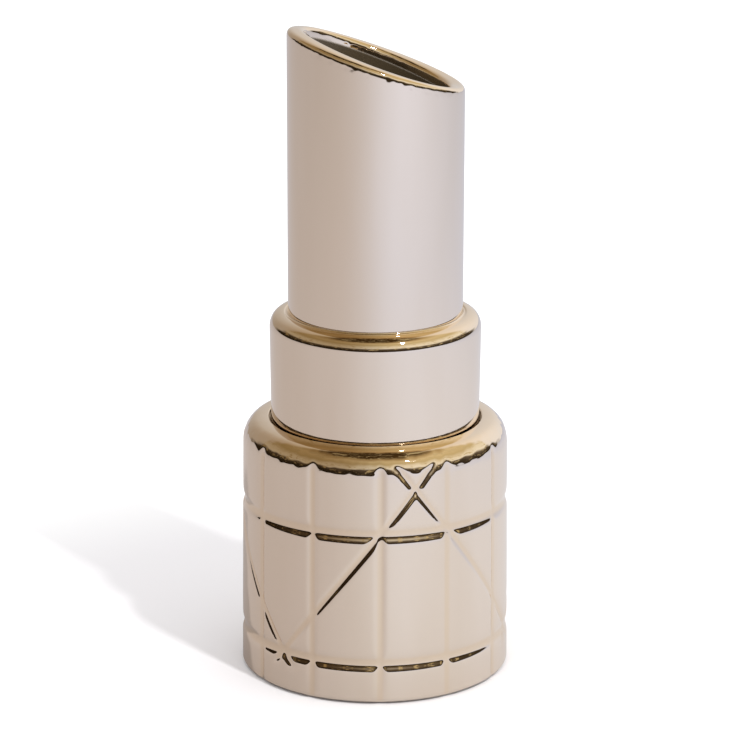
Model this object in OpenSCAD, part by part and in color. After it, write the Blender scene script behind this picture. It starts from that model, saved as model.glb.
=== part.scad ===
// Hollow ceramic vase in the shape of an open lipstick.
// Three cast tiers stand on each other: a grooved drum, a plain collar and a tube whose
// mouth is cut at a slant. Each upper tier has a spigot that stands in the tier below, and a
// ring of luting slip fills the joint. Four soft pads carry the vase.
// Origin: centre of the underside, on the table. +Z is up, and +X is the mouth's low side.

/* [Drum] */
// Radius of the drum at its foot
drum_r = 55.5; // [54:0.5:58]
// Radius of the drum's wall just under its shoulder
drum_top_r = 54.6; // [54:0.1:55.4]
// Height of the drum's crest above the table
drum_h = 106.2; // [100:0.2:112]
// Radius that rounds the shoulder's outer edge
shoulder_r = 8.5; // [6:0.5:10]
// Fall of the shoulder towards its outer edge, in degrees
shoulder_fall = 34; // [30:1:38]

/* [Collar] */
// Radius of the collar at its widest, under its rounded top
collar_r = 43.3; // [43:0.1:44]
// Radius of the collar at its foot
collar_foot_r = 42.8; // [42.4:0.1:43]
// Height above the table at which the tube leaves the collar
collar_h = 151; // [146:0.5:156]
// Radius that rounds the collar's upper edge
collar_edge_r = 6; // [5.5:0.5:8.5]

/* [Tube] */
// Outer radius of the tube
tube_r = 35.75; // [35:0.25:36]
// Height above the table of the mouth's centre
mouth_h = 252.2; // [220:0.2:280]
// Slant of the mouth, in degrees from level
mouth_slant = 19.8; // [0:0.1:30]

/* [Grooves] */
// Number of upright grooves around the drum
upright_count = 12; // [12:6:12]
// Turn of the first upright groove from the mouth's low side, in degrees
upright_turn = -5.6; // [-15:0.1:15]
// Height of the lower ring groove
ring_low_z = 17.5; // [15:0.5:22]
// Height of the upper ring groove
ring_high_z = 72.2; // [66:0.2:78]
// Height at which two slanting grooves cross above the upper ring groove
cross_z = 90.4; // [86:0.2:92]
// Depth of the ring grooves
groove_d = 1.2; // [0.8:0.1:1.6]

/* [Walls and feet] */
// Thickness of the cast walls
wall = 7; // [6:0.5:7]
// Thickness of the vase's floor
floor_t = 6; // [5:0.5:9]
// Height that the pads hold the foot ring above the table
foot_gap = 0.6; // [0.4:0.1:1.2]
// Radius of a pad
pad_r = 6; // [4:0.5:8]

/* [Hidden] */
$fn = 96;
gold = "#cdb79c";
clay = "#b9a285";
felt = "#4a4743";

// Foot
foot_edge_r = 1.8;
recess_r = 47;
recess_d = 2;
floor_z = foot_gap + recess_d + floor_t;
pad_ring_r = 38;
pad_count = 4;
pad_h = foot_gap + recess_d;

// Joints: the spigots, the sockets round them and the slip between
spigot_h = 6;
slip_t = 0.5;
collar_bore_r = collar_foot_r - wall;
collar_spigot_r = collar_foot_r - 3.8;
collar_socket_r = collar_spigot_r + slip_t;
tube_bore_r = tube_r - wall;
tube_spigot_r = tube_r - 3.2;
tube_socket_r = tube_spigot_r + slip_t;

// Narrow channel round the collar's foot, and the one round the tube's
channel_r = 0.7;
channel_z = drum_h - 2.2;
crest_r = 1.5;
tube_channel_r = 0.8;
tube_seat_z = collar_h - 0.9;

// Shoulder: the drum's outer edge turns from upright to the fall, rises to the crest and runs
// level from there to the channel
slope_t = 90 - shoulder_fall;
crest_x = collar_foot_r + 4.8;
crest_z = drum_h - crest_r;
slope_in = [crest_x + crest_r * cos(slope_t), crest_z + crest_r * sin(slope_t)];
edge_x = drum_top_r - shoulder_r;
slope_out_x = edge_x + shoulder_r * cos(slope_t);
slope_out_z = slope_in.y - (slope_out_x - slope_in.x) * tan(shoulder_fall);
edge_z = slope_out_z - shoulder_r * sin(slope_t);

// Collar top
collar_slope_t = 52;
collar_edge_x = collar_r - collar_edge_r;
collar_slope_x = collar_edge_x + collar_edge_r * cos(collar_slope_t);
collar_lip_x = tube_r + 2.4;
collar_lip_z = collar_h - 0.5;
collar_edge_z = collar_lip_z - (collar_slope_x - collar_lip_x) / tan(collar_slope_t)
                - collar_edge_r * sin(collar_slope_t);

// Mouth
lip_r = wall / 2;
lip_axis_r = tube_r - lip_r;
lip_inset = 0.05;
lip_skirt = 5;
slant = tan(mouth_slant);
lip_steps = 72;
lip_arc_steps = 10;

// Grooves
ring_groove_r = 2.8;
upright_groove_r = 2.5;
upright_groove_d = groove_d - 0.2;
slanting_groove_r = 3;
slanting_groove_d = groove_d - 0.1;
upright_pitch = 360 / upright_count;
cross_count = 3;
cross_turn = upright_turn + 1.5 * upright_pitch;
// Degrees that a slanting groove turns for each millimetre that it climbs
slanting_rate = (upright_pitch / 2) / (cross_z - ring_high_z);
slanting_low_z = ring_low_z - 5;
slanting_high_z = drum_h + 1;
slanting_steps = 12;
slanting_sides = 8;

function arc(centre, r, from, to, steps) =
    [for (i = [0 : steps]) let (a = from + (to - from) * i / steps)
        centre + r * [cos(a), sin(a)]];
function drum_wall_r(z) = drum_r + (drum_top_r - drum_r) * min(z / edge_z, 1);
function polar(r, a, z) = [r * cos(a), r * sin(a), z];

// Triangles over a grid of points: rows of `count` points, each row a closed loop
function grid_faces(rows, count, closed) =
    [for (i = [0 : rows - (closed ? 1 : 2)]) for (j = [0 : count - 1])
        let (a = i * count + j, b = i * count + (j + 1) % count,
             c = ((i + 1) % rows) * count + (j + 1) % count, d = ((i + 1) % rows) * count + j)
        each [[a, b, c], [a, c, d]]];

// Outer surface of the drum, from the foot ring up to the channel round the collar
module drum_outline() {
    polygon(concat(
        [[0, foot_gap]],
        arc([drum_r - foot_edge_r, foot_gap + foot_edge_r], foot_edge_r, -90, 0, 8),
        arc([edge_x, edge_z], shoulder_r, 0, slope_t, 24),
        arc([crest_x, crest_z], crest_r, slope_t, 90, 8),
        [[collar_foot_r + 2 * channel_r, drum_h], [collar_foot_r + 2 * channel_r, channel_z],
         [0, channel_z]]));
}

// One groove along a straight line on the drum's wall
module upright_groove(a) {
    lean = atan((drum_r - drum_top_r) / edge_z);
    rotate([0, 0, a])
        translate([drum_r + upright_groove_r - upright_groove_d, 0, 0])
            rotate([0, -lean, 0])
                translate([0, 0, -2]) cylinder(r = upright_groove_r, h = drum_h + 4, $fn = 32);
}

module ring_groove(z) {
    rotate_extrude()
        translate([drum_wall_r(z) + ring_groove_r - groove_d, z]) circle(r = ring_groove_r, $fn = 32);
}

// One groove that climbs the drum's wall at a slant: side is 1 or -1
module slanting_groove(a, side) {
    points = [for (i = [0 : slanting_steps])
        let (z = slanting_low_z + (slanting_high_z - slanting_low_z) * i / slanting_steps,
             turn = a + side * (z - cross_z) * slanting_rate,
             axis_r = drum_wall_r(z) + slanting_groove_r - slanting_groove_d,
             lean = atan(axis_r * slanting_rate * PI / 180) * side)
        for (j = [0 : slanting_sides - 1])
            let (b = -360 * j / slanting_sides, out = slanting_groove_r * cos(b),
                 along = slanting_groove_r * sin(b))
            polar(axis_r + out, turn, z - along * sin(lean))
                + along * cos(lean) * [-sin(turn), cos(turn), 0]];
    rows = slanting_steps + 1;
    polyhedron(points, concat(
        grid_faces(rows, slanting_sides, false),
        [[for (j = [slanting_sides - 1 : -1 : 0]) j]],
        [[for (j = [0 : slanting_sides - 1]) (rows - 1) * slanting_sides + j]]));
}

module base_drum() {
    color(gold) difference() {
        rotate_extrude() drum_outline();
        // Inside of the drum
        rotate_extrude() polygon(concat(
            [[0, floor_z]],
            arc([drum_top_r - wall - 6, floor_z + 6], 6, -90, 0, 8),
            arc([edge_x - 1, channel_z - wall - 6], shoulder_r - wall + 1, 0, 60, 6),
            [[collar_socket_r, channel_z - wall], [collar_socket_r, drum_h], [0, drum_h]]));
        translate([0, 0, -1]) cylinder(r = recess_r, h = foot_gap + recess_d + 1);
        for (z = [ring_low_z, ring_high_z]) ring_groove(z);
        for (i = [0 : upright_count - 1]) upright_groove(upright_turn + i * upright_pitch);
        for (i = [0 : cross_count - 1]) for (side = [-1, 1])
            slanting_groove(cross_turn + i * 360 / cross_count, side);
    }
}

module collar() {
    color(gold) rotate_extrude() polygon(concat(
        [[collar_bore_r, channel_z - spigot_h], [collar_spigot_r, channel_z - spigot_h],
         [collar_spigot_r, channel_z + slip_t], [collar_foot_r, channel_z + slip_t]],
        arc([collar_edge_x, collar_edge_z], collar_edge_r, 0, collar_slope_t, 24),
        [[collar_lip_x, collar_lip_z], [tube_r + tube_channel_r, tube_seat_z],
         [tube_socket_r, tube_seat_z], [tube_socket_r, tube_seat_z - wall],
         [collar_bore_r, tube_seat_z - wall - 3]]));
}

// Rounded lip of the mouth, on the slanted end of the tube's wall
module lip() {
    half = lip_r - lip_inset;
    section = concat([[half, -lip_skirt]], arc([0, 0], half, 0, 180, lip_arc_steps), [[-half, -lip_skirt]]);
    points = [for (i = [0 : lip_steps - 1]) let (a = 360 * i / lip_steps)
        for (p = section)
            polar(lip_axis_r + p.x, a, mouth_h - slant * lip_axis_r * cos(a) + p.y)];
    polyhedron(points, grid_faces(lip_steps, len(section), true));
}

module bullet_tube() {
    color(gold) {
        difference() {
            union() {
                translate([0, 0, tube_seat_z - spigot_h])
                    cylinder(r = tube_spigot_r, h = spigot_h + wall);
                translate([0, 0, tube_seat_z + slip_t]) cylinder(r = tube_r, h = mouth_h);
            }
            translate([0, 0, tube_seat_z - spigot_h - 1]) cylinder(r = tube_bore_r, h = 2 * mouth_h);
            // Slanted cut, under the lip
            translate([0, 0, mouth_h - 2]) rotate([0, mouth_slant, 0])
                translate([-mouth_h, -mouth_h, 0]) cube(2 * mouth_h);
        }
        lip();
    }
}

// Slip in a joint: round the spigot, under the tier above, and a fillet against its foot
module luting_ring(spigot, socket, seat, foot, fillet) {
    rotate_extrude() polygon(concat(
        [[spigot, seat - spigot_h], [socket, seat - spigot_h], [socket, seat]],
        arc([foot + fillet, seat + fillet], fillet, 270, 180, 10),
        [[foot, seat + slip_t], [spigot, seat + slip_t]]));
}

module collar_luting_ring() {
    color(clay) luting_ring(collar_spigot_r, collar_socket_r, channel_z, collar_foot_r, channel_r);
}

module tube_luting_ring() {
    color(clay) luting_ring(tube_spigot_r, tube_socket_r, tube_seat_z, tube_r, tube_channel_r);
}

module foot_pad(i) {
    color(felt) rotate([0, 0, (i + 0.5) * 360 / pad_count]) translate([pad_ring_r, 0, 0])
        cylinder(r = pad_r, h = pad_h);
}

base_drum();
collar();
bullet_tube();
collar_luting_ring();
tube_luting_ring();
for (i = [0 : pad_count - 1])
    foot_pad(i);
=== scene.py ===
import math

import bmesh
import bpy
import numpy as np
from mathutils import Matrix, Vector, noise


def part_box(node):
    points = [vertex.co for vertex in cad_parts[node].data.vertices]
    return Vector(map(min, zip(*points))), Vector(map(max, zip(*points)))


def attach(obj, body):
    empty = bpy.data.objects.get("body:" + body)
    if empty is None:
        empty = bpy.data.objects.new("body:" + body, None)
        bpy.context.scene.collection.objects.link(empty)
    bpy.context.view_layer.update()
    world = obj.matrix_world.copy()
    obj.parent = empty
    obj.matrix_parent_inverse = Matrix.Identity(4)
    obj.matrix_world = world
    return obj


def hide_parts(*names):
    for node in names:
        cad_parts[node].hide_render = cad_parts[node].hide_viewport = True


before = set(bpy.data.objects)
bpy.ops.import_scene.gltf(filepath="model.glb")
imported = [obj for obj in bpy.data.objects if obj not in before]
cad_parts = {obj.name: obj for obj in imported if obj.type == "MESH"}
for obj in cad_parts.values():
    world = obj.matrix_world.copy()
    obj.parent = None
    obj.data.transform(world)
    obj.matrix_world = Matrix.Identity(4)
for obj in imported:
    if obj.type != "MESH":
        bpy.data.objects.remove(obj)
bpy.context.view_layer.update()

# ---------------------------------------------------------------- sizes, in millimetres and degrees
MM = 0.001
# Points this close to a limit count as lying on it
MARGIN = 0.01


def node_box(node):
    """Lowest and highest corner of a CAD node, in millimetres."""
    low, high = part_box(node)
    return low / MM, high / MM


drum_low, drum_high = node_box("base_drum")
collar_low, collar_high = node_box("collar")
tube_low, tube_high = node_box("bullet_tube")
pad_high = node_box("foot_pad_1")[1]

WALL = 7.0
# A spigot stands back from the wall above it, and slip fills the rest of its socket
SPIGOT_H = 6.0
COLLAR_SPIGOT_STEP = 3.8
TUBE_SPIGOT_STEP = 3.2
SLIP_T = 0.5

# Drum
DRUM_R = drum_high.x
DRUM_TOP_R = 54.6
DRUM_H = drum_high.z
FOOT_Z = drum_low.z
FOOT_EDGE_R = 1.8
FLOOR_Z = 8.6
RECESS_R = 47.0
RECESS_Z = pad_high.z
# Room inside, under the collar's socket
CAVITY_TOP_DROP = 6.0
CAVITY_TOP_R = 2.5
CAVITY_TOP_START = 60.0
CAVITY_FOOT_R = 6.0
# Curves from a wall to the level edge above it: radius and tilt at the end of each arc
SHOULDER_ARCS = [(16.0, 12.0), (10.0, 50.0), (6.5, 74.0), (18.8, 86.5), (0.6, 90.0)]
COLLAR_ARCS = [(7.0, 30.0), (4.5, 60.0), (8.0, 84.0), (0.8, 90.0)]
# Tilt at which the last of them, carried on over the crest, ends inside the joint
CREST_END = 150.0

# Collar
COLLAR_R = collar_high.x
COLLAR_FOOT_R = 42.8
COLLAR_BORE_R = COLLAR_FOOT_R - WALL
COLLAR_SPIGOT_R = COLLAR_FOOT_R - COLLAR_SPIGOT_STEP
SOCKET_TAPER = 3.0
COLLAR_SOCKET_R = COLLAR_SPIGOT_R + SLIP_T
CHANNEL_Z = collar_low.z + SPIGOT_H
CHANNEL_R = 0.7
CHANNEL_W = 1.0
# Painted shade: the glaze is dark in the channel, up to this height
CREVICE_TOP = CHANNEL_Z + 1.7
CREVICE_FADE = 0.5
CREVICE_MARK = 2.0
COLLAR_FLARE_R = 1.6
COLLAR_FLARE_TOP = DRUM_H - 1.2

# Tube
TUBE_R = tube_high.x
TUBE_BORE_R = TUBE_R - WALL
TUBE_SPIGOT_R = TUBE_R - TUBE_SPIGOT_STEP
TUBE_SOCKET_R = TUBE_SPIGOT_R + SLIP_T
TUBE_SEAT_Z = tube_low.z + SPIGOT_H
TUBE_CHANNEL_R = 0.8
TUBE_FLARE_R = 2.0
TUBE_FLARE_TOP = collar_high.z - 0.1
LIP_R = WALL / 2
# How square the lip is: 2 would be a half circle
LIP_POWER = 3.2
# Depth inside the mouth over which the plating fades into bare glaze
BARE_DEPTH = 1.2
# The lip's hand-trimmed unevenness, and the depth under the lip over which it fades
LIP_SWELL = 0.10
LIP_SWELL_SIZE = 2.6
LIP_SWELL_DROP = 0.02
UNEVEN_DEPTH = 1.0
LIP_AXIS_R = TUBE_R - LIP_R
MOUTH_TILT = 19.8
MOUTH_SLOPE = math.tan(math.radians(MOUTH_TILT))
MOUTH_H = tube_high.z - LIP_R - MOUTH_SLOPE * LIP_AXIS_R

# Grooves on the drum
UPRIGHT_COUNT = 12
UPRIGHT_PITCH = 360 / UPRIGHT_COUNT
UPRIGHT_TURN = -5.6
RING_LOW_Z = 17.5
RING_HIGH_Z = 72.2
# Slanting grooves cross midway between two upright ones, and meet an upright one at the upper ring
CROSS_Z = 90.4
CROSS_COUNT = 3
CROSS_TURN = UPRIGHT_TURN + 1.5 * UPRIGHT_PITCH
SLANTING_RATE = (UPRIGHT_PITCH / 2) / (CROSS_Z - RING_HIGH_Z)
SLANTING_LOW_Z = 12.5
SLANTING_FADE = 0.8

# Depth of each kind of groove, and its half width: a ring groove's upper and lower side differ
RING_DEPTH = 0.88
RING_UPPER_W = 2.6
RING_LOWER_W = 2.9
UPRIGHT_DEPTH = 0.95
UPRIGHT_W = 2.1
SLANTING_DEPTH = 0.98
SLANTING_W = 1.8
# A shallow dish that a ring groove lies in
DISH_DEPTH = 0.18
DISH_UPPER_W = 7.0
DISH_LOWER_W = 3.0
# A fine line that the mould left above each ring groove
RING_LINE_Z = 4.4
RING_LINE_DEPTH = 0.07
RING_LINE_W = 0.35
# How flat a groove's floor is, and how sharply crossing grooves meet
GROOVE_POWER = 2.4
CROSSING_POWER = 3.5
# Softness of the edge where a groove runs out into the shoulder
EDGE_SOFTNESS = 0.35
# Unevenness of the drum: lumps on the shoulder's edge, and slow waves in the panels
LUMP_SIZE = 3.2
LUMP_SWELL = 0.10
LUMP_DROP = 0.06
LUMP_LOW_Z = 94.0
LUMP_FADE = 4.0
WAVE_SIZE = 14.0
WAVE_SWELL = 0.05
WAVE_DROP = 0.03

# Pads
PAD_COUNT = 4
PAD_EDGE_R = 0.4
PAD_TOP_EDGE = 0.2
PAD_DIMPLE = 0.12
# Where the dimple's floor and its rim are, as shares of the pad's radius
PAD_DIMPLE_FLOOR = 0.45
PAD_DIMPLE_RIM = 0.55

# Faces around a grooved or slanted piece, a plain one and a pad
AROUND = 720
PLAIN_AROUND = 256
PAD_AROUND = 64
# Rows of faces up each wall and over the lip
DRUM_ROWS = 190
COLLAR_ROWS = 40
FLARE_ROWS = 8
TUBE_OUTER_ROWS = 89
TUBE_INNER_ROWS = 79
LIP_ROWS = 48
# The tube's rows lie closer together towards the mouth: 1 would space them evenly
OUTER_SPACING = 0.7
INNER_SPACING = 0.5
# Edges between faces that meet at more than this angle stay sharp
SHARP_ANGLE = 35.0


# ---------------------------------------------------------------- mesh tools
def arc(x, z, r, start, end, steps):
    """Points of an arc in the (radius, height) plane. Angles are in degrees, from outwards to up."""
    angles = np.radians(np.linspace(start, end, steps + 1))
    return [(x + r * math.cos(a), z + r * math.sin(a)) for a in angles]


def line(start, end, steps):
    """Points from start to end, without the first."""
    return [(start[0] + (end[0] - start[0]) * i / steps,
             start[1] + (end[1] - start[1]) * i / steps) for i in range(1, steps + 1)]


def ring_grid(name, radius, height, closed, crease):
    """A mesh from arrays of radii and heights: a row for each profile point, a column for each angle.
    A row of zero radii becomes one point on the axis. closed joins the last row to the first.
    crease holds a mark for each point, which the materials read."""
    rows, columns = radius.shape
    turn = np.radians(np.arange(columns) * 360.0 / columns)
    points = np.stack([radius * np.cos(turn), radius * np.sin(turn), height], axis=2) * MM
    mesh = bmesh.new()
    layer = mesh.verts.layers.float.new("crease")
    grid = []
    for i in range(rows):
        if radius[i].max() < MARGIN:
            grid.append([mesh.verts.new(points[i, 0])] * columns)
        else:
            grid.append([mesh.verts.new(p) for p in points[i]])
        for j, vert in enumerate(grid[-1]):
            vert[layer] = float(crease[i, j])
    for i in range(rows if closed else rows - 1):
        low, high = grid[i], grid[(i + 1) % rows]
        for j in range(columns):
            corners = [low[j], low[(j + 1) % columns], high[(j + 1) % columns], high[j]]
            corners = list(dict.fromkeys(corners))
            if len(corners) > 2:
                mesh.faces.new(corners)
    bmesh.ops.recalc_face_normals(mesh, faces=mesh.faces)
    data = bpy.data.meshes.new(name)
    mesh.to_mesh(data)
    mesh.free()
    data.shade_smooth()
    data.set_sharp_from_angle(angle=math.radians(SHARP_ANGLE))
    piece = bpy.data.objects.new(name, data)
    bpy.context.scene.collection.objects.link(piece)
    return piece


def turned(profile, columns):
    """The radii and heights of a profile of (radius, height) points, repeated around the axis."""
    outline = np.array(profile, float)
    return np.repeat(outline[:, :1], columns, axis=1), np.repeat(outline[:, 1:], columns, axis=1)


def lathe(name, profile, columns=PLAIN_AROUND, closed=True):
    """A turned piece from a profile of (radius, height) points."""
    radius, height = turned(profile, columns)
    return ring_grid(name, radius, height, closed, crevice(radius, height))


def swell(radius, height, turn, scale, amount):
    """Slow hand-made unevenness: how far a surface point stands out, from smooth noise."""
    x = radius * np.cos(turn) / scale
    y = radius * np.sin(turn) / scale
    z = height / scale
    flat = [noise.noise(Vector(p)) for p in zip(x.ravel(), y.ravel(), z.ravel())]
    return amount * np.array(flat).reshape(radius.shape)


def crevice(radius, height):
    """Marks the bottom of the channel at the collar's foot, from 0 to CREVICE_MARK, for its painted shade.
    """
    near = (np.abs(radius - COLLAR_FOOT_R - CHANNEL_R) < 2 * CHANNEL_R) & (height > CHANNEL_Z - MARGIN)
    return CREVICE_MARK * near * np.clip((CREVICE_TOP - height) / CREVICE_FADE, 0, 1)


# ---------------------------------------------------------------- drum
def shoulder_curve(wall_r, arcs, top):
    """Touching arcs that start upright at the wall's top and end over a crest at height top."""
    x, z, start = wall_r, 0.0, 0.0
    points = [(x, z)]
    for radius, end in arcs:
        t = math.radians(start)
        bend = arc(x - radius * math.cos(t), z - radius * math.sin(t), radius, start, end, 24)
        points += bend[1:]
        (x, z), start = bend[-1], end
    points += arc(x, z - radius, radius, start, CREST_END, 12)[1:]
    return [(px, pz + top - z) for px, pz in points]


SHOULDER = shoulder_curve(DRUM_TOP_R, SHOULDER_ARCS, DRUM_H)
EDGE_Z = SHOULDER[0][1]


def drum_wall_r(z):
    """Radius of the drum's plain wall, which narrows a little up to the shoulder."""
    return DRUM_R + (DRUM_TOP_R - DRUM_R) * np.clip(z / EDGE_Z, 0, 1)


def groove(distance, depth, width):
    """Depth of a rounded groove at a distance from its middle line."""
    return depth * np.exp(-np.abs(distance / width) ** GROOVE_POWER)


def groove_depth(turn_deg, z):
    """Depth of the whole lattice of grooves, blended where grooves cross."""
    mm_per_deg = DRUM_R * math.pi / 180
    depths = []
    for ring_z in (RING_LOW_Z, RING_HIGH_Z):
        d = z - ring_z
        depths.append(groove(d, RING_DEPTH, np.where(d > 0, RING_UPPER_W, RING_LOWER_W))
                      + groove(d, DISH_DEPTH, np.where(d > 0, DISH_UPPER_W, DISH_LOWER_W))
                      + groove(d - RING_LINE_Z, RING_LINE_DEPTH, RING_LINE_W))
    d = (turn_deg - UPRIGHT_TURN + UPRIGHT_PITCH / 2) % UPRIGHT_PITCH - UPRIGHT_PITCH / 2
    depths.append(groove(d * mm_per_deg, UPRIGHT_DEPTH, UPRIGHT_W))
    slope = math.atan(mm_per_deg * SLANTING_RATE)
    low_end = 1 / (1 + np.exp(-(z - SLANTING_LOW_Z) / SLANTING_FADE))
    for i in range(CROSS_COUNT):
        for side in (-1, 1):
            middle = CROSS_TURN + i * 360 / CROSS_COUNT + side * (z - CROSS_Z) * SLANTING_RATE
            d = ((turn_deg - middle + 180) % 360 - 180) * mm_per_deg * math.cos(slope)
            depths.append(groove(d, SLANTING_DEPTH, SLANTING_W) * low_end)
    return sum(d ** CROSSING_POWER for d in depths) ** (1 / CROSSING_POWER)


def drum_profile():
    """The drum's outside, from the foot to the channel, and the rest of its profile."""
    channel = (COLLAR_FOOT_R + CHANNEL_W, CHANNEL_Z)
    wall_low = (DRUM_R, FOOT_Z + FOOT_EDGE_R)
    foot_edge = arc(DRUM_R - FOOT_EDGE_R, wall_low[1], FOOT_EDGE_R, -90, 0, 8)
    outer = (foot_edge + line(wall_low, SHOULDER[0], DRUM_ROWS) + SHOULDER[1:]
             + line(SHOULDER[-1], channel, 5))
    socket = [(COLLAR_SOCKET_R, CHANNEL_Z), (COLLAR_SOCKET_R, CHANNEL_Z - WALL)]
    cavity_r = DRUM_TOP_R - WALL
    cavity_top_z = CHANNEL_Z - WALL - CAVITY_TOP_DROP
    cavity = (arc(cavity_r - CAVITY_TOP_R, cavity_top_z, CAVITY_TOP_R, CAVITY_TOP_START, 0, 6)
              + arc(cavity_r - CAVITY_FOOT_R, FLOOR_Z + CAVITY_FOOT_R, CAVITY_FOOT_R, 0, -90, 8))
    under = [(0, RECESS_Z), (RECESS_R, RECESS_Z), (RECESS_R, FOOT_Z)]
    return outer, socket + cavity + [(0, FLOOR_Z)] + under


def soft_positive(value):
    """The value where it is positive, and 0 where it is negative, with a soft turn between."""
    return 0.5 * (value + np.sqrt(value ** 2 + EDGE_SOFTNESS ** 2))


def groove_cut(depth, gap):
    """How far a groove cuts in where the surface already stands back from the wall by gap."""
    return soft_positive(depth - gap) - soft_positive(-gap)


def make_drum():
    outer, inside = drum_profile()
    radius, height = turned(outer + inside, AROUND)
    count = len(outer)
    r, z = radius[:count], height[:count]
    turn = np.repeat((np.arange(AROUND) * 360.0 / AROUND)[None, :], count, axis=0)
    cut = groove_cut(groove_depth(turn, z), np.maximum(drum_wall_r(z) - r, 0))
    # The shoulder's edge is lumpy, the panels only a little uneven
    angle = np.radians(turn)
    edge = np.clip((z - LUMP_LOW_Z) / LUMP_FADE, 0, 1)
    uneven = swell(r, z, angle, LUMP_SIZE, LUMP_SWELL) * edge + swell(r, z, angle, WAVE_SIZE, WAVE_SWELL)
    crease = np.zeros_like(radius)
    # The mark carries the groove depth, for painted shade in the grooves, and the channel's painted shade
    crease[:count] = np.maximum(np.clip(cut / RING_DEPTH, 0, 1), crevice(r, z))
    radius[:count] = r - cut + np.minimum(uneven - LUMP_DROP * edge - WAVE_DROP, 0)
    return ring_grid("drum_shell", radius, height, True, crease)


# ---------------------------------------------------------------- collar and joints
def foot_flare(r, low, flare_r, top):
    """A wall of radius r flares a little where it meets the joint under it, from low to top."""
    start = math.degrees(math.asin((top - low) / flare_r))
    return [(r + flare_r * (1 - math.cos(a)), top - flare_r * math.sin(a))
            for a in np.radians(np.linspace(start, 0, FLARE_ROWS + 1))]


def make_collar():
    round_top = shoulder_curve(COLLAR_R, COLLAR_ARCS, collar_high.z)
    flare = foot_flare(COLLAR_FOOT_R, CHANNEL_Z + SLIP_T, COLLAR_FLARE_R, COLLAR_FLARE_TOP)
    spigot = [(COLLAR_BORE_R, collar_low.z), (COLLAR_SPIGOT_R, collar_low.z), (COLLAR_SPIGOT_R, flare[0][1])]
    outer = flare + line(flare[-1], round_top[0], COLLAR_ROWS) + round_top[1:]
    socket = [(TUBE_R + TUBE_CHANNEL_R, TUBE_SEAT_Z), (TUBE_SOCKET_R, TUBE_SEAT_Z),
              (TUBE_SOCKET_R, TUBE_SEAT_Z - WALL), (COLLAR_BORE_R, TUBE_SEAT_Z - WALL - SOCKET_TAPER)]
    return lathe("collar_shell", spigot + outer + socket)


def make_luting_ring(name, spigot, socket, seat, foot, fillet):
    """Slip under a tier and around its spigot. It shows as a fillet at the tier's foot."""
    profile = ([(spigot, seat - SPIGOT_H), (socket, seat - SPIGOT_H), (socket, seat)]
               + arc(foot + fillet, seat + fillet, fillet, 270, 180, 16)
               + [(foot, seat + SLIP_T), (spigot, seat + SLIP_T)])
    return lathe(name, profile)


# ---------------------------------------------------------------- tube
def make_tube():
    """The tube's rows follow the slanted mouth more and more closely towards the lip."""
    flare = foot_flare(TUBE_R, TUBE_SEAT_Z + SLIP_T, TUBE_FLARE_R, TUBE_FLARE_TOP)
    turn = np.radians(np.arange(AROUND) * 360.0 / AROUND)
    mouth = MOUTH_H - MOUTH_SLOPE * LIP_AXIS_R * np.cos(turn)
    ones = np.ones(AROUND)
    rows = [(TUBE_BORE_R * ones, tube_low.z * ones), (TUBE_SPIGOT_R * ones, tube_low.z * ones),
            (TUBE_SPIGOT_R * ones, flare[0][1] * ones)]
    rows += [(r * ones, z * ones) for r, z in flare]
    for share in np.linspace(0, 1, TUBE_OUTER_ROWS + 1)[1:] ** OUTER_SPACING:
        rows.append((TUBE_R * ones, TUBE_FLARE_TOP + (mouth - TUBE_FLARE_TOP) * share))
    lip_start = len(rows)
    for x, z in arc(0, 0, 1, 0, 180, LIP_ROWS)[1:-1]:
        full = (abs(x) ** LIP_POWER + z ** LIP_POWER) ** (-1 / LIP_POWER)
        rows.append(((LIP_AXIS_R + LIP_R * x * full) * ones, mouth + LIP_R * z * full))
    lip_end = len(rows)
    for share in np.linspace(1, 0, TUBE_INNER_ROWS + 1)[:-1] ** INNER_SPACING:
        rows.append((TUBE_BORE_R * ones, tube_low.z + (mouth - tube_low.z) * share))
    radius = np.array([r for r, z in rows])
    height = np.array([z for r, z in rows])
    depth = mouth[None, :] - height
    inside = np.where(radius < TUBE_BORE_R + MARGIN, np.clip(depth / BARE_DEPTH, 0, 1), 0)
    # The lip and the wall under it are uneven: the slip was trimmed by hand
    outwards = np.ones(len(rows))
    outwards[lip_start:lip_end] = np.cos(np.radians(np.linspace(0, 180, LIP_ROWS + 1)[1:-1]))
    outwards[lip_end:] = -1
    near = np.clip(1 - depth / UNEVEN_DEPTH, 0, 1) ** 2 * (height > TUBE_FLARE_TOP)
    angle = np.repeat(turn[None, :], len(rows), axis=0)
    uneven = np.minimum(swell(radius, height, angle, LIP_SWELL_SIZE, LIP_SWELL) - LIP_SWELL_DROP, 0) * near
    return ring_grid("tube_shell", radius + uneven * outwards[:, None], height, True, inside)


# ---------------------------------------------------------------- pads
def make_pad(node, index):
    """A round pad with a shallow dimple underneath."""
    low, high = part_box(node)
    middle = (low + high) / 2
    r = (high.x - low.x) / 2 / MM
    h = (high.z - low.z) / MM
    profile = ([(0, PAD_DIMPLE), (r * PAD_DIMPLE_FLOOR, PAD_DIMPLE), (r * PAD_DIMPLE_RIM, 0.0)]
               + arc(r - PAD_EDGE_R, PAD_EDGE_R, PAD_EDGE_R, -90, 0, 6)
               + [(r, h - PAD_TOP_EDGE), (r - PAD_TOP_EDGE, h), (0, h)])
    pad = lathe("pad_%d" % index, profile, PAD_AROUND, closed=False)
    pad.data.transform(Matrix.Translation((middle.x, middle.y, low.z)))
    return pad


# ---------------------------------------------------------------- node tools
def plug(tree, socket, value):
    """Feeds a socket from another node's output, or sets it to a plain value."""
    if isinstance(value, bpy.types.NodeSocket):
        tree.links.new(value, socket)
    else:
        socket.default_value = value


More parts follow.
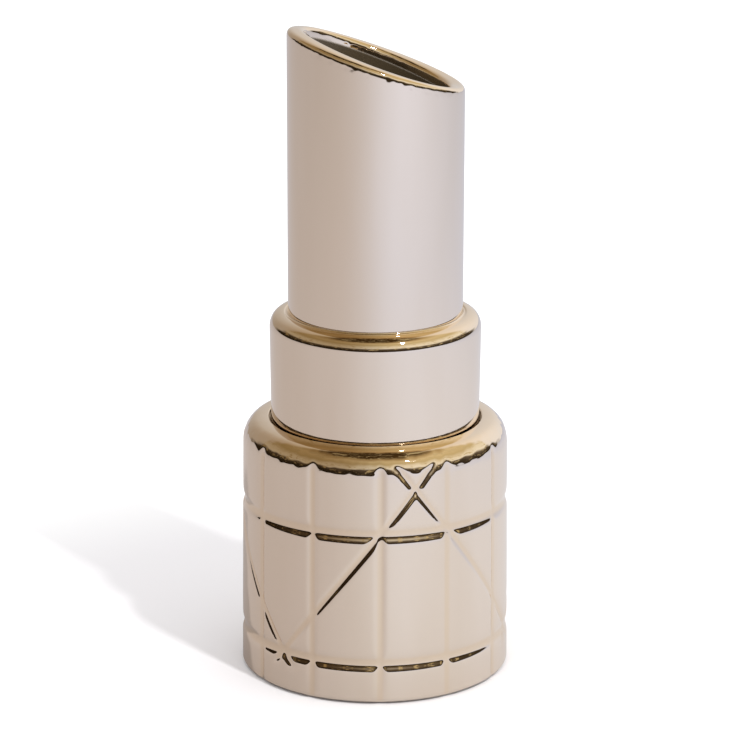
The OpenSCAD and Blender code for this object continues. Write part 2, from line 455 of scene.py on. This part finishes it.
def maths(tree, operation, *values):
    """A Math node's result. Each value is a number or another node's output."""
    node = tree.nodes.new("ShaderNodeMath")
    node.operation = operation
    for socket, value in zip(node.inputs, values):
        plug(tree, socket, value)
    return node.outputs["Value"]


def vector_maths(tree, operation, *values):
    """A Vector Math node. Each value is a vector or another node's output."""
    node = tree.nodes.new("ShaderNodeVectorMath")
    node.operation = operation
    for socket, value in zip(node.inputs, values):
        plug(tree, socket, value)
    return node


def along(tree, place, direction):
    """How far a point lies along a direction."""
    return vector_maths(tree, "DOT_PRODUCT", place, direction).outputs["Value"]


def noise_value(tree, place, scale, detail, roughness=0.5):
    node = tree.nodes.new("ShaderNodeTexNoise")
    node.inputs["Scale"].default_value = scale
    node.inputs["Detail"].default_value = detail
    node.inputs["Roughness"].default_value = roughness
    tree.links.new(place, node.inputs["Vector"])
    return node.outputs["Fac"]


def stretched(tree, place, scale):
    """Coordinates scaled by three factors, for streaks."""
    node = tree.nodes.new("ShaderNodeMapping")
    node.inputs["Scale"].default_value = scale
    tree.links.new(place, node.inputs["Vector"])
    return node.outputs["Vector"]


def step(tree, value, span, result=(0.0, 1.0)):
    """Turns smoothly from the first result to the second as the value crosses the span."""
    node = tree.nodes.new("ShaderNodeMapRange")
    node.interpolation_type = "SMOOTHSTEP"
    node.inputs["From Min"].default_value, node.inputs["From Max"].default_value = span
    node.inputs["To Min"].default_value, node.inputs["To Max"].default_value = result
    tree.links.new(value, node.inputs["Value"])
    return node.outputs["Result"]


def ramp(tree, value, stops):
    """A colour from a list of (position, colour) stops."""
    node = tree.nodes.new("ShaderNodeValToRGB")
    while len(node.color_ramp.elements) < len(stops):
        node.color_ramp.elements.new(0.5)
    for element, (position, colour) in zip(node.color_ramp.elements, stops):
        element.position = position
        element.color = (*colour, 1)
    tree.links.new(value, node.inputs["Fac"])
    return node.outputs["Color"]


def plain_colour(tree, colour):
    node = tree.nodes.new("ShaderNodeRGB")
    node.outputs[0].default_value = (*colour, 1)
    return node.outputs[0]


def mixed(tree, share, low, high):
    """A colour between two others. The Mix node's colour sockets are inputs 6 and 7 and output 2."""
    node = tree.nodes.new("ShaderNodeMix")
    node.data_type = "RGBA"
    tree.links.new(share, node.inputs["Factor"])
    tree.links.new(low, node.inputs[6])
    tree.links.new(high, node.inputs[7])
    return node.outputs[2]


def bump(tree, height, strength, distance):
    node = tree.nodes.new("ShaderNodeBump")
    node.inputs["Strength"].default_value = strength
    node.inputs["Distance"].default_value = distance
    tree.links.new(height, node.inputs["Height"])
    return node.outputs["Normal"]


# ---------------------------------------------------------------- materials
# The lustre's colour, from the darkest to the lightest of its uneven tint
LUSTRE = [(0.35, (0.85, 0.75, 0.635)), (0.65, (0.90, 0.81, 0.71))]
TINT_SCALE = 30
TINT_STRETCH = (1, 1, 0.15)
# Painted shade: grooves are deeper in colour, by a share of this one, over a span of the crease mark
GROOVE_SHADE_COLOUR = (0.86, 0.70, 0.50)
GROOVE_SHADE_SHARE = 0.5
DEEP_MARKS = (0.35, 1.0)
# Painted shade: the channel at the collar's foot is darkened, where the mark is higher still
CHANNEL_SHADE_COLOUR = (0.30, 0.23, 0.15)
CHANNEL_SHADE_MARKS = (1.1, 1.8)
# Bare glaze inside the mouth
BARE_COLOUR = (0.080, 0.057, 0.032)
BARE_METALLIC = 0.1
BARE_ROUGHNESS = 0.3
# A faint haze, as a roughness, and the span of its noise
HAZE_SCALE = 60
HAZE_NOISE = (0.3, 0.7)
HAZE_ROUGHNESS = (0.015, 0.04)
# Ripple all over and fine upright streaks, with the bump's strength and its depth in metres
RIPPLE_SCALE = 140
STREAK_SCALE = 260
STREAK_STRETCH = (1, 1, 0.06)
STREAK_SHARE = 0.25
GLAZE_BUMP = (0.06, 0.0004)

RUBBER = [(0.3, (0.03, 0.028, 0.026)), (0.7, (0.05, 0.046, 0.043))]
RUBBER_ROUGHNESS = 0.7
RUBBER_GRAIN_SCALE = 900
RUBBER_BUMP = (0.3, 0.0001)


def new_material(name):
    """A material with a Principled shader, and coordinates on the object."""
    material = bpy.data.materials.new(name)
    material.use_nodes = True
    tree = material.node_tree
    tree.nodes.clear()
    output = tree.nodes.new("ShaderNodeOutputMaterial")
    shader = tree.nodes.new("ShaderNodeBsdfPrincipled")
    tree.links.new(shader.outputs["BSDF"], output.inputs["Surface"])
    return material, tree, shader, tree.nodes.new("ShaderNodeTexCoord").outputs["Object"]


def crease_mark(tree):
    """The mark that ring_grid leaves on each point."""
    node = tree.nodes.new("ShaderNodeAttribute")
    node.attribute_name = "crease"
    return node.outputs["Fac"]


def glaze_colour(tree, place, mark, share, deep):
    """The lustre's uneven tint, turned towards the deep colour by share, and darkened with painted shade
    where marked.
    """
    tint = noise_value(tree, stretched(tree, place, TINT_STRETCH), TINT_SCALE, 3)
    toned = mixed(tree, share, ramp(tree, tint, LUSTRE), plain_colour(tree, deep))
    # Painted shade in the channel at the collar's foot
    return mixed(tree, step(tree, mark, CHANNEL_SHADE_MARKS), toned, plain_colour(tree, CHANNEL_SHADE_COLOUR))


def glaze_bump(tree, place):
    ripple = noise_value(tree, place, RIPPLE_SCALE, 2)
    streaks = noise_value(tree, stretched(tree, place, STREAK_STRETCH), STREAK_SCALE, 3)
    return bump(tree, maths(tree, "MULTIPLY_ADD", streaks, STREAK_SHARE, ripple), *GLAZE_BUMP)


def mirror_glaze(name, bare_inside=False):
    """Champagne-gold lustre on glaze: a mirror with a faint uneven tint, soft ripple and streaks.
    The tint is deeper in grooves, as painted shade. With bare_inside the mark fades the plating out instead."""
    material, tree, shader, place = new_material(name)
    mark = crease_mark(tree)
    share = step(tree, mark, DEEP_MARKS, (0.0, 1.0 if bare_inside else GROOVE_SHADE_SHARE))
    metallic = 1.0
    rough = step(tree, noise_value(tree, place, HAZE_SCALE, 4), HAZE_NOISE, HAZE_ROUGHNESS)
    if bare_inside:
        metallic = step(tree, mark, DEEP_MARKS, (1.0, BARE_METALLIC))
        rough = maths(tree, "MULTIPLY_ADD", share, BARE_ROUGHNESS, rough)
    # The grooves' deeper colour is painted shade; the bare glaze is the mouth's own colour
    deep = BARE_COLOUR if bare_inside else GROOVE_SHADE_COLOUR
    plug(tree, shader.inputs["Base Color"], glaze_colour(tree, place, mark, share, deep))
    plug(tree, shader.inputs["Metallic"], metallic)
    plug(tree, shader.inputs["Roughness"], rough)
    plug(tree, shader.inputs["Normal"], glaze_bump(tree, place))
    return material


def pad_rubber():
    """Dark rubber with a fine grain."""
    material, tree, shader, place = new_material("pad_rubber")
    grain = noise_value(tree, place, RUBBER_GRAIN_SCALE, 4)
    plug(tree, shader.inputs["Base Color"], ramp(tree, grain, RUBBER))
    plug(tree, shader.inputs["Roughness"], RUBBER_ROUGHNESS)
    plug(tree, shader.inputs["Normal"], bump(tree, grain, *RUBBER_BUMP))
    return material


def finish_piece(piece, node, material):
    """The piece gets its material, rides on the one body and stands for a CAD node."""
    piece.data.materials.append(material)
    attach(piece, "root")
    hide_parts(node)


# ---------------------------------------------------------------- camera
# The camera's turn around the object and its tilt down, and how far it is from the point it aims at
VIEW_TURN = math.radians(-8.0)
PITCH = math.radians(16.29)
DISTANCE = 1354.5 * MM
AIM_H = 125.94 * MM
# Lens and sensor in millimetres, a slope by which the camera looks aside, and its roll
FOCAL = 161.41304
SENSOR_W = 36
ASIDE = 0.00220909
ROLL = math.radians(0.105)


def make_camera():
    camera = bpy.data.objects.new("camera", bpy.data.cameras.new("camera"))
    bpy.context.scene.collection.objects.link(camera)
    bpy.context.scene.camera = camera
    camera.data.sensor_width = SENSOR_W
    camera.data.lens = FOCAL
    camera.data.clip_start = 0.05
    camera.data.clip_end = 60
    forward = Vector((math.sin(-VIEW_TURN) * math.cos(PITCH), math.cos(VIEW_TURN) * math.cos(PITCH),
                      -math.sin(PITCH)))
    place = Vector((0, 0, AIM_H)) - forward * DISTANCE
    right = forward.cross(Vector((0, 0, 1))).normalized()
    look = (forward - right * ASIDE).normalized()
    camera.location = place
    turn = look.to_track_quat("-Z", "Y").to_matrix()
    camera.rotation_mode = "QUATERNION"
    camera.rotation_quaternion = (turn @ Matrix.Rotation(ROLL, 3, "Z")).to_quaternion()


# ---------------------------------------------------------------- studio
# What mirrors see in front of the object and behind it, by degrees above the horizon
STUDIO_FRONT = [(0, (0.03, 0.021, 0.012)), (6, (0.045, 0.033, 0.02)), (13, (0.12, 0.09, 0.06)),
                (18, (0.76, 0.70, 0.57)), (28, (0.70, 0.62, 0.46)), (40, (0.50, 0.39, 0.20)),
                (53, (0.60, 0.47, 0.26)), (62, (0.40, 0.28, 0.13)), (70, (0.07, 0.038, 0.011)),
                (90, (0.05, 0.026, 0.007))]
STUDIO_BACK = [(0, (0.72, 0.70, 0.70)), (28, (0.76, 0.71, 0.66)), (50, (0.76, 0.66, 0.54)),
               (72, (0.70, 0.58, 0.42)), (90, (0.45, 0.33, 0.18))]
# What that is multiplied by, from the left to the right, where the key light is
STUDIO_ACROSS = [(0, (0.42, 0.35, 0.27)), (0.5, (0.72, 0.70, 0.67)), (1, (1.0, 0.98, 0.94))]
ACROSS_SPAN = (-0.7, 0.7)
# The back begins over this span towards the rear. It comes further forward overhead, and less far
# forward where the rise is low
BACK_SPAN = (0.38, 0.58)
OVERHEAD_REACH = 0.22
OVERHEAD_POWER = 4
LOW_RISE = (0.05, 0.20)
LOW_REACH = 0.20
# Soft warm patches in front, which fade out towards the horizon
PATCH_COLOUR = (0.50, 0.40, 0.22)
PATCH_SCALE = 9
PATCH_DETAIL = 3
PATCH_ROUGHNESS = 0.7
PATCH_NOISE = (0.52, 0.66)
PATCH_LOW = (math.sin(math.radians(2)), math.sin(math.radians(8)))
MIRRORED_STRENGTH = 1.25
PLAIN_STRENGTH = 1.15

# The floor, in metres: what the camera and matte surfaces see near the object and away from it, darker near
# it as painted shade
FLOOR_HALF_W = 4.0
SHADED_NEAR_FLOOR = (0.80, 0.785, 0.80)
PLAIN_AWAY = (0.95, 0.95, 0.95)
AWAY_SPAN = (0.15, 0.28)
# What mirrors see of it, as painted light and shade: darker on the left, away from the key light, then near
# and far from the object, and dark at the front end
MIRRORED_LEFT_SHADE = (0.40, 0.360, 0.348)
LEFT_SPAN = (-0.95, 0.45)
MIRRORED_NEAR = (0.53, 0.515, 0.525)
MIRRORED_FAR = (0.465, 0.47, 0.53)
FAR_SPAN = (0.1, 0.75)
MIRRORED_DARK_END = (0.03, 0.021, 0.012)
END_SPAN = (1.5, 2.3)

KEY_TURN = 37
KEY_RISE = 49
KEY_DISTANCE = 3.0
KEY_SIZE = 0.16
KEY_POWER = 44
KEY_AIM_H = 0.10


def studio_direction(turn_deg, up_deg):
    """A direction given by its turn from the front of the studio, positive to the right, and its rise."""
    a, e = math.radians(turn_deg) + VIEW_TURN, math.radians(up_deg)
    return Vector((math.sin(a) * math.cos(e), -math.cos(a) * math.cos(e), math.sin(e)))


def glossy_ray(tree):
    """1 for what is seen in a mirror, and 0 for what the camera or a matte surface sees."""
    return tree.nodes.new("ShaderNodeLightPath").outputs["Is Glossy Ray"]


def bands(tree, rise, colours):
    """A ramp of colours given by degrees above the horizon."""
    return ramp(tree, rise, [(math.sin(math.radians(up)), colour) for up, colour in colours])


def studio_front(tree, place, rise):
    lit = step(tree, noise_value(tree, place, PATCH_SCALE, PATCH_DETAIL, PATCH_ROUGHNESS), PATCH_NOISE)
    share = maths(tree, "MULTIPLY", lit, step(tree, rise, PATCH_LOW))
    return mixed(tree, share, bands(tree, rise, STUDIO_FRONT), plain_colour(tree, PATCH_COLOUR))


def back_share(tree, place, rise):
    """How far a direction belongs to the studio's back, from 0 to 1."""
    rear = along(tree, place, studio_direction(180, 0))
    overhead = maths(tree, "POWER", rise, OVERHEAD_POWER)
    cover = maths(tree, "MULTIPLY_ADD", overhead, OVERHEAD_REACH, rear)
    low = step(tree, rise, LOW_RISE, (LOW_REACH, 0.0))
    return step(tree, maths(tree, "SUBTRACT", cover, low), BACK_SPAN)


def background(tree, colour, strength):
    node = tree.nodes.new("ShaderNodeBackground")
    plug(tree, node.inputs["Color"], colour)
    plug(tree, node.inputs["Strength"], strength)
    return node.outputs["Background"]


def make_world():
    """Mirrors see the studio's bands, and everything else sees plain white."""
    world = bpy.data.worlds.new("studio")
    bpy.context.scene.world = world
    world.use_nodes = True
    tree = world.node_tree
    tree.nodes.clear()
    place = tree.nodes.new("ShaderNodeTexCoord").outputs["Generated"]
    rise = along(tree, place, (0, 0, 1))
    colour = mixed(tree, back_share(tree, place, rise), studio_front(tree, place, rise),
                   bands(tree, rise, STUDIO_BACK))
    across = step(tree, along(tree, place, studio_direction(90, 0)), ACROSS_SPAN)
    tinted = vector_maths(tree, "MULTIPLY", colour, ramp(tree, across, STUDIO_ACROSS))
    chosen = tree.nodes.new("ShaderNodeMixShader")
    plug(tree, chosen.inputs["Fac"], glossy_ray(tree))
    plug(tree, chosen.inputs[1], background(tree, (1, 1, 1, 1), PLAIN_STRENGTH))
    plug(tree, chosen.inputs[2], background(tree, tinted.outputs["Vector"], MIRRORED_STRENGTH))
    output = tree.nodes.new("ShaderNodeOutputWorld")
    plug(tree, output.inputs["Surface"], chosen.outputs["Shader"])


def floor_colour(tree):
    """Pale, a little darker by the object as painted shade. Mirrors see darker, warmer and cooler parts:
    painted light and shade for the key light's side and the dark room in front.
    """
    place = tree.nodes.new("ShaderNodeTexCoord").outputs["Object"]
    distance = vector_maths(tree, "LENGTH", place).outputs["Value"]
    heading = vector_maths(tree, "NORMALIZE", place).outputs["Vector"]
    # Painted shade: darker near the object, so its shadow fades with distance
    seen = mixed(tree, step(tree, distance, AWAY_SPAN),
                 plain_colour(tree, SHADED_NEAR_FLOOR), plain_colour(tree, PLAIN_AWAY))
    lit = mixed(tree, step(tree, distance, FAR_SPAN),
                plain_colour(tree, MIRRORED_NEAR), plain_colour(tree, MIRRORED_FAR))
    right = step(tree, along(tree, heading, studio_direction(90, 0)), LEFT_SPAN)
    end = step(tree, along(tree, place, studio_direction(0, 0)), END_SPAN)
    # Painted shade on the left, away from the key light, and a painted dark end in front
    shaded = mixed(tree, right, plain_colour(tree, MIRRORED_LEFT_SHADE), lit)
    mirrored = mixed(tree, end, shaded, plain_colour(tree, MIRRORED_DARK_END))
    return mixed(tree, glossy_ray(tree), seen, mirrored)


def make_floor():
    grid = bmesh.new()
    bmesh.ops.create_grid(grid, x_segments=8, y_segments=8, size=FLOOR_HALF_W)
    data = bpy.data.meshes.new("floor")
    grid.to_mesh(data)
    grid.free()
    floor = bpy.data.objects.new("floor", data)
    bpy.context.scene.collection.objects.link(floor)
    material = bpy.data.materials.new("floor")
    material.use_nodes = True
    tree = material.node_tree
    tree.nodes.clear()
    matte = tree.nodes.new("ShaderNodeBsdfDiffuse")
    plug(tree, matte.inputs["Color"], floor_colour(tree))
    output = tree.nodes.new("ShaderNodeOutputMaterial")
    plug(tree, output.inputs["Surface"], matte.outputs["BSDF"])
    data.materials.append(material)


def make_key_light():
    light = bpy.data.lights.new("key", "AREA")
    light.shape = "SQUARE"
    light.size = KEY_SIZE
    light.energy = KEY_POWER
    lamp = bpy.data.objects.new("key", light)
    bpy.context.scene.collection.objects.link(lamp)
    direction = studio_direction(KEY_TURN, KEY_RISE)
    lamp.location = Vector((0, 0, KEY_AIM_H)) + direction * KEY_DISTANCE
    lamp.rotation_euler = (-direction).to_track_quat("-Z", "Y").to_euler()


# ---------------------------------------------------------------- the scene
make_camera()
make_world()
make_floor()
make_key_light()
bpy.context.scene.view_settings.view_transform = "Standard"

glaze = mirror_glaze("mirror_glaze")
rubber = pad_rubber()
for piece, node, material in (
        (make_drum(), "base_drum", glaze),
        (make_collar(), "collar", glaze),
        (make_tube(), "bullet_tube", mirror_glaze("mirror_glaze_mouth", bare_inside=True)),
        (make_luting_ring("collar_slip", COLLAR_SPIGOT_R, COLLAR_SOCKET_R, CHANNEL_Z, COLLAR_FOOT_R,
                          CHANNEL_R), "collar_luting_ring", glaze),
        (make_luting_ring("tube_slip", TUBE_SPIGOT_R, TUBE_SOCKET_R, TUBE_SEAT_Z, TUBE_R,
                          TUBE_CHANNEL_R), "tube_luting_ring", glaze)):
    finish_piece(piece, node, material)
for index in range(1, PAD_COUNT + 1):
    node = "foot_pad_%d" % index
    finish_piece(make_pad(node, index), node, rubber)
